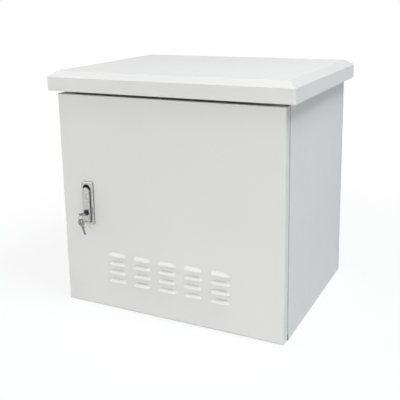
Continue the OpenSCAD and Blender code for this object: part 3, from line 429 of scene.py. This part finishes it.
def galvanised():
    """Hot-dip zinc: crystal patches of different tone and gloss."""
    s = Shader("galvanised")
    grey = s.add("ShaderNodeRGBToBW")
    s.link(s.cells(scale=110.0)["Color"], grey.inputs["Color"])
    crystal = grey.outputs["Val"]
    tone = s.between(crystal, (0.45, 0.47, 0.49), (0.60, 0.62, 0.64))
    haze = s.between(s.noise(scale=14.0, detail=4.0), (0.86, 0.86, 0.87), WHITE)
    s.feed("Base Color", s.blend(tone, haze, "MULTIPLY"))
    s.feed("Roughness", s.range(crystal, low=0.34, high=0.50))
    s.make_metal()
    grain = s.noise(scale=220.0, detail=2.0)
    s.bump(grain, strength=0.05, distance=0.0004, normal=s.round_edges(radius=0.0004))
    return s.mat


def matt(name, low, high, rough, scale, depth):
    """Moulded plastic or rubber: dull, with a fine grain."""
    s = Shader(name)
    s.feed("Base Color", s.between(s.noise(scale, detail=3.0), low, high))
    s.feed("Roughness", s.range(s.noise(scale * 2.0), *rough))
    grain = s.noise(scale * 3.0)
    s.bump(grain, strength=0.3, distance=depth, normal=s.round_edges(radius=0.0004))
    return s.mat


def foam(name, low, high, scale, depth):
    """Foam: lighter in the middle of each cell and darker towards its edge."""
    s = Shader(name)
    pores = s.cells(scale)["Distance"]
    s.feed("Base Color", s.between(pores, high, low, start=0.15, end=0.75))
    s.feed("Roughness", s.range(s.noise(scale=60.0), low=0.86, high=0.98))
    s.bump(pores, strength=0.5, distance=depth)
    return s.mat


def fibre(name, low, high):
    """Filter mat: matted fibres that run in three directions."""
    s = Shader(name)
    ways = ((0.12, 1.0, 1.0), (1.0, 1.0, 0.12), (1.0, 0.15, 0.8))
    runs = [s.noise(scale=260.0, detail=3.0, rough=0.6, stretch=way) for way in ways]
    felt = s.blend(s.blend(runs[0], runs[1], "LIGHTEN"), runs[2], "MIX", fac=0.35)
    s.feed("Base Color", s.between(felt, low, high, start=0.38, end=0.68))
    s.feed("Roughness", s.range(s.noise(scale=30.0), low=0.88, high=1.0))
    s.bump(felt, strength=0.7, distance=0.0012)
    return s.mat


materials = {
    "powder_coat": powder_coat("powder_coat", PANEL_GAP),
    "zinc_plate": plated(
        "zinc_plate", (0.54, 0.55, 0.58), (0.66, 0.67, 0.69), rough=(0.26, 0.36), scale=60.0
    ),
    "galvanised": galvanised(),
    "satin_chrome": plated(
        "satin_chrome", (0.46, 0.46, 0.45), (0.58, 0.58, 0.57), rough=(0.16, 0.28), scale=160.0, peel=0.05
    ),
    "lock_black": matt(
        "lock_black",
        (0.010, 0.010, 0.011),
        (0.018, 0.018, 0.019),
        rough=(0.45, 0.55),
        scale=300.0,
        depth=0.0001,
    ),
    "lock_steel": plated(
        "lock_steel", (0.03, 0.04, 0.04), (0.06, 0.07, 0.07), rough=(0.25, 0.35), scale=150.0
    ),
    "key_steel": plated(
        "key_steel", (0.20, 0.19, 0.16), (0.36, 0.34, 0.29), rough=(0.16, 0.28), scale=250.0, peel=0.06
    ),
    "seal_rubber": matt(
        "seal_rubber",
        (0.016, 0.016, 0.016),
        (0.028, 0.028, 0.028),
        rough=(0.60, 0.75),
        scale=250.0,
        depth=0.0002,
    ),
    "filter_foam": fibre("filter_foam", (0.16, 0.17, 0.18), (0.46, 0.47, 0.48)),
    "earth_brass": plated(
        "earth_brass", (0.62, 0.46, 0.19), (0.76, 0.60, 0.30), rough=(0.24, 0.34), scale=100.0
    ),
}
for part in frame["record"]["subparts"]:
    mesh = nodes[part["node"]].data
    mesh.materials.clear()
    mesh.materials.append(materials[part["material_slot"]])

# Painted light: paler paint on the louvres, which stand proud of the door's face
louvre_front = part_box("door_panel")[0][1]
proud = ("Y", louvre_front + HOOD_LIGHT_STARTS * LOUVRE_OUT, louvre_front + HOOD_LIGHT_FULL * LOUVRE_OUT)
nodes["door_panel"].data.materials[0] = powder_coat("door_paint", PANEL_GAP, hood_light=proud)

# Painted shade in the gap above the door, on the top panel's front fold
gap_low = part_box("door_panel")[1][2]
above_door = ("Z", gap_low - FADE, gap_low)
nodes["top_panel"].data.materials[0] = powder_coat("gap_paint", ROOF_GAP, limits=(above_door,))

# Painted shade in the seam beside the door, on the side panels' front folds, which start at the hinge
# arm's foot
fold_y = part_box("hinge_arm_upper")[1][1] + FOLD
before_fold = ("Y", fold_y + FADE, fold_y)
for side, out in (("left", -1), ("right", 1)):
    panel = "side_panel_" + side
    low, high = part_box(panel)
    fold_x = max(-low[0], high[0]) - FOLD
    outer_edge = ("X", out * (fold_x - FADE), out * fold_x)
    seam_paint = powder_coat("seam_paint_" + side, SEAM_GAP, limits=(outer_edge, before_fold))
    nodes[panel].data.materials[0] = seam_paint

# Soft pieces of the door


def soft_piece(name, verts, faces, node, finish):
    """A mesh piece that rides on the door and stands for one CAD node."""
    mesh = bpy.data.meshes.new(name)
    mesh.from_pydata(verts, [], faces)
    mesh.polygons.foreach_set("use_smooth", [True] * len(mesh.polygons))
    mesh.materials.append(finish)
    piece = bpy.data.objects.new(name, mesh)
    scene.collection.objects.link(piece)
    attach(piece, "door")
    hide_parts(node)


def bead_path(low, high):
    """Centre and outward way of each of the bead's sections, round a rectangle with round corners."""
    half_x = (high[0] - low[0] - BEAD_W) / 2
    half_z = (high[2] - low[2] - BEAD_W) / 2
    mid_x = (high[0] + low[0]) / 2
    mid_z = (high[2] + low[2]) / 2
    path = []
    for k, (sx, sz) in enumerate(((1, 1), (-1, 1), (-1, -1), (1, -1))):
        cx = mid_x + sx * (half_x - BEAD_CORNER_R)
        cz = mid_z + sz * (half_z - BEAD_CORNER_R)
        for i in range(BEAD_CORNER_STEPS + 1):
            turn = math.radians(90.0 * k + 90.0 * i / BEAD_CORNER_STEPS)
            nx = math.cos(turn)
            nz = math.sin(turn)
            path.append((cx, cz, nx, nz))
        span = 2 * ((half_x if k % 2 == 0 else half_z) - BEAD_CORNER_R)
        steps = int(span / BEAD_STEP)
        for i in range(1, steps):
            away = span * i / steps
            path.append((cx - nz * away, cz + nx * away, nx, nz))
    return path


def bead_section(height, wave):
    """Outward and upward reach of each point over the bead, from its outer foot to its inner one."""
    section = []
    for j in range(BEAD_POINTS):
        t = math.pi * j / (BEAD_POINTS - 1)
        side = math.copysign(abs(math.cos(t)) ** DOME_SIDE_POWER, math.cos(t))
        out = side * (BEAD_HALF_SHARE * BEAD_W + WAVE_OUT * wave)
        rise = math.sin(t) ** DOME_TOP_POWER * (BEAD_RISE_SHARE * height + WAVE_UP * wave)
        press = PRESS_DEPTH * max(0.0, 1.0 - abs(side) / PRESS_HALF_SHARE)
        section.append((BEAD_CORNER_R + out, max(0.0, rise - press)))
    return section


def make_seal():
    """Foam bead round the door: a domed strip, slightly uneven, pressed in along its top."""
    low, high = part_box("door_seal")
    path = bead_path(low, high)
    verts = []
    for i, (cx, cz, nx, nz) in enumerate(path):
        wave = sum(size * math.sin(i * pace + start) for size, pace, start in BEAD_WAVES)
        for out, rise in bead_section(high[1] - low[1], wave):
            verts.append((cx + nx * out, low[1] + rise, cz + nz * out))
    faces = []
    last = BEAD_POINTS - 1
    for i in range(len(path)):
        a = i * BEAD_POINTS
        b = (i + 1) % len(path) * BEAD_POINTS
        for j in range(last):
            faces.append((a + j, a + j + 1, b + j + 1, b + j))
        faces.append((a + last, a, b, b + last))
    finish = foam("seal_foam", (0.012, 0.012, 0.012), (0.034, 0.034, 0.034), scale=900.0, depth=0.0005)
    soft_piece("door_seal_bead", verts, faces, "door_seal", finish)


def mat_lumps(x, z):
    """Unevenness of the mat's faces, between -LUMP_WAVES and LUMP_WAVES."""
    upright = math.sin(x * LUMP_X + LUMP_X_SWAY * math.sin(z * LUMP_X_SWAY_PACE))
    level = math.sin(z * LUMP_Z + LUMP_Z_SWAY * math.sin(x * LUMP_Z_SWAY_PACE))
    cross = math.sin(x * LUMP_CROSS_X + z * LUMP_CROSS_Z)
    return upright + level + cross


def make_filter_mat(columns, rows):
    """Fibre mat behind the louvres: uneven faces that thin out to soft edges."""
    low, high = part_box("filter_mat")
    width = high[0] - low[0]
    height = high[2] - low[2]
    verts = []
    for front in (True, False):
        for j in range(rows + 1):
            v = j / rows
            z = low[2] + v * height
            for i in range(columns + 1):
                u = i / columns
                x = low[0] + u * width
                rim = min(u * width, (1 - u) * width, v * height, (1 - v) * height)
                soft = MAT_RIM_DIP * max(0.0, 1.0 - rim / MAT_RIM_W) ** 2
                dip = soft + MAT_LUMP * (LUMP_WAVES + mat_lumps(x, z))
                y = low[1] + dip if front else high[1] - dip
                verts.append((x, y, z))
    row = columns + 1
    sheet = row * (rows + 1)
    faces = []
    for j in range(rows):
        for i in range(columns):
            a = j * row + i
            quad = (a, a + 1, a + row + 1, a + row)
            faces.append(quad)
            faces.append(tuple(sheet + n for n in reversed(quad)))
    border = list(range(columns))
    border += [columns + j * row for j in range(rows)]
    border += [sheet - 1 - i for i in range(columns)]
    border += [(rows - j) * row for j in range(rows)]
    for a, b in zip(border, border[1:] + border[:1]):
        faces.append((b, a, sheet + a, sheet + b))
    finish = materials["filter_foam"]
    soft_piece("filter_mat_pad", verts, faces, "filter_mat", finish)


make_seal()
make_filter_mat(MAT_COLUMNS, MAT_ROWS)

make_camera()
make_world(FILL_LIGHT)
make_floor(FLOOR_HALF, floor_finish(FLOOR_COLOUR, FLOOR_WHITE_SHARE))

# Lamps: name, place, aim, width and height in metres, watts and colour
make_area("key", (1.3, -0.4, 2.9), (0.0, 0.0, 0.4), (1.2, 1.2), 77.0, (0.955, 0.98, 1.0))
make_area("front", (0.6, -3.2, 0.31), BODY_MIDDLE, (1.8, 0.54), 39.5, WARM_WHITE)
make_area("left", (-3.0, -0.6, 1.0), BODY_MIDDLE, (1.8, 1.8), 35.0, (1.0, 0.98, 0.95))
make_area("left_high", (-1.3, -2.6, 2.2), BODY_MIDDLE, (1.6, 1.0), 16.0, WARM_WHITE)
make_area("left_roof", (-1.5, -0.5, 1.9), (-0.3, -0.2, 0.6), (0.8, 0.8), 7.5)
make_area("right", (3.0, -0.2, 0.8), BODY_MIDDLE, (1.8, 1.8), 4.0, (1.0, 0.94, 0.84))
make_area("right_low", (1.9, 0.5, 0.12), (0.3, 0.05, 0.05), (0.8, 0.2), 2.0, (0.50, 0.78, 1.0))
make_area("rear", (-0.8, 3.0, 0.28), (0.0, 0.0, 0.28), (1.8, 0.45), 36.0, mirrored=False)

scene.view_settings.view_transform = "Standard"
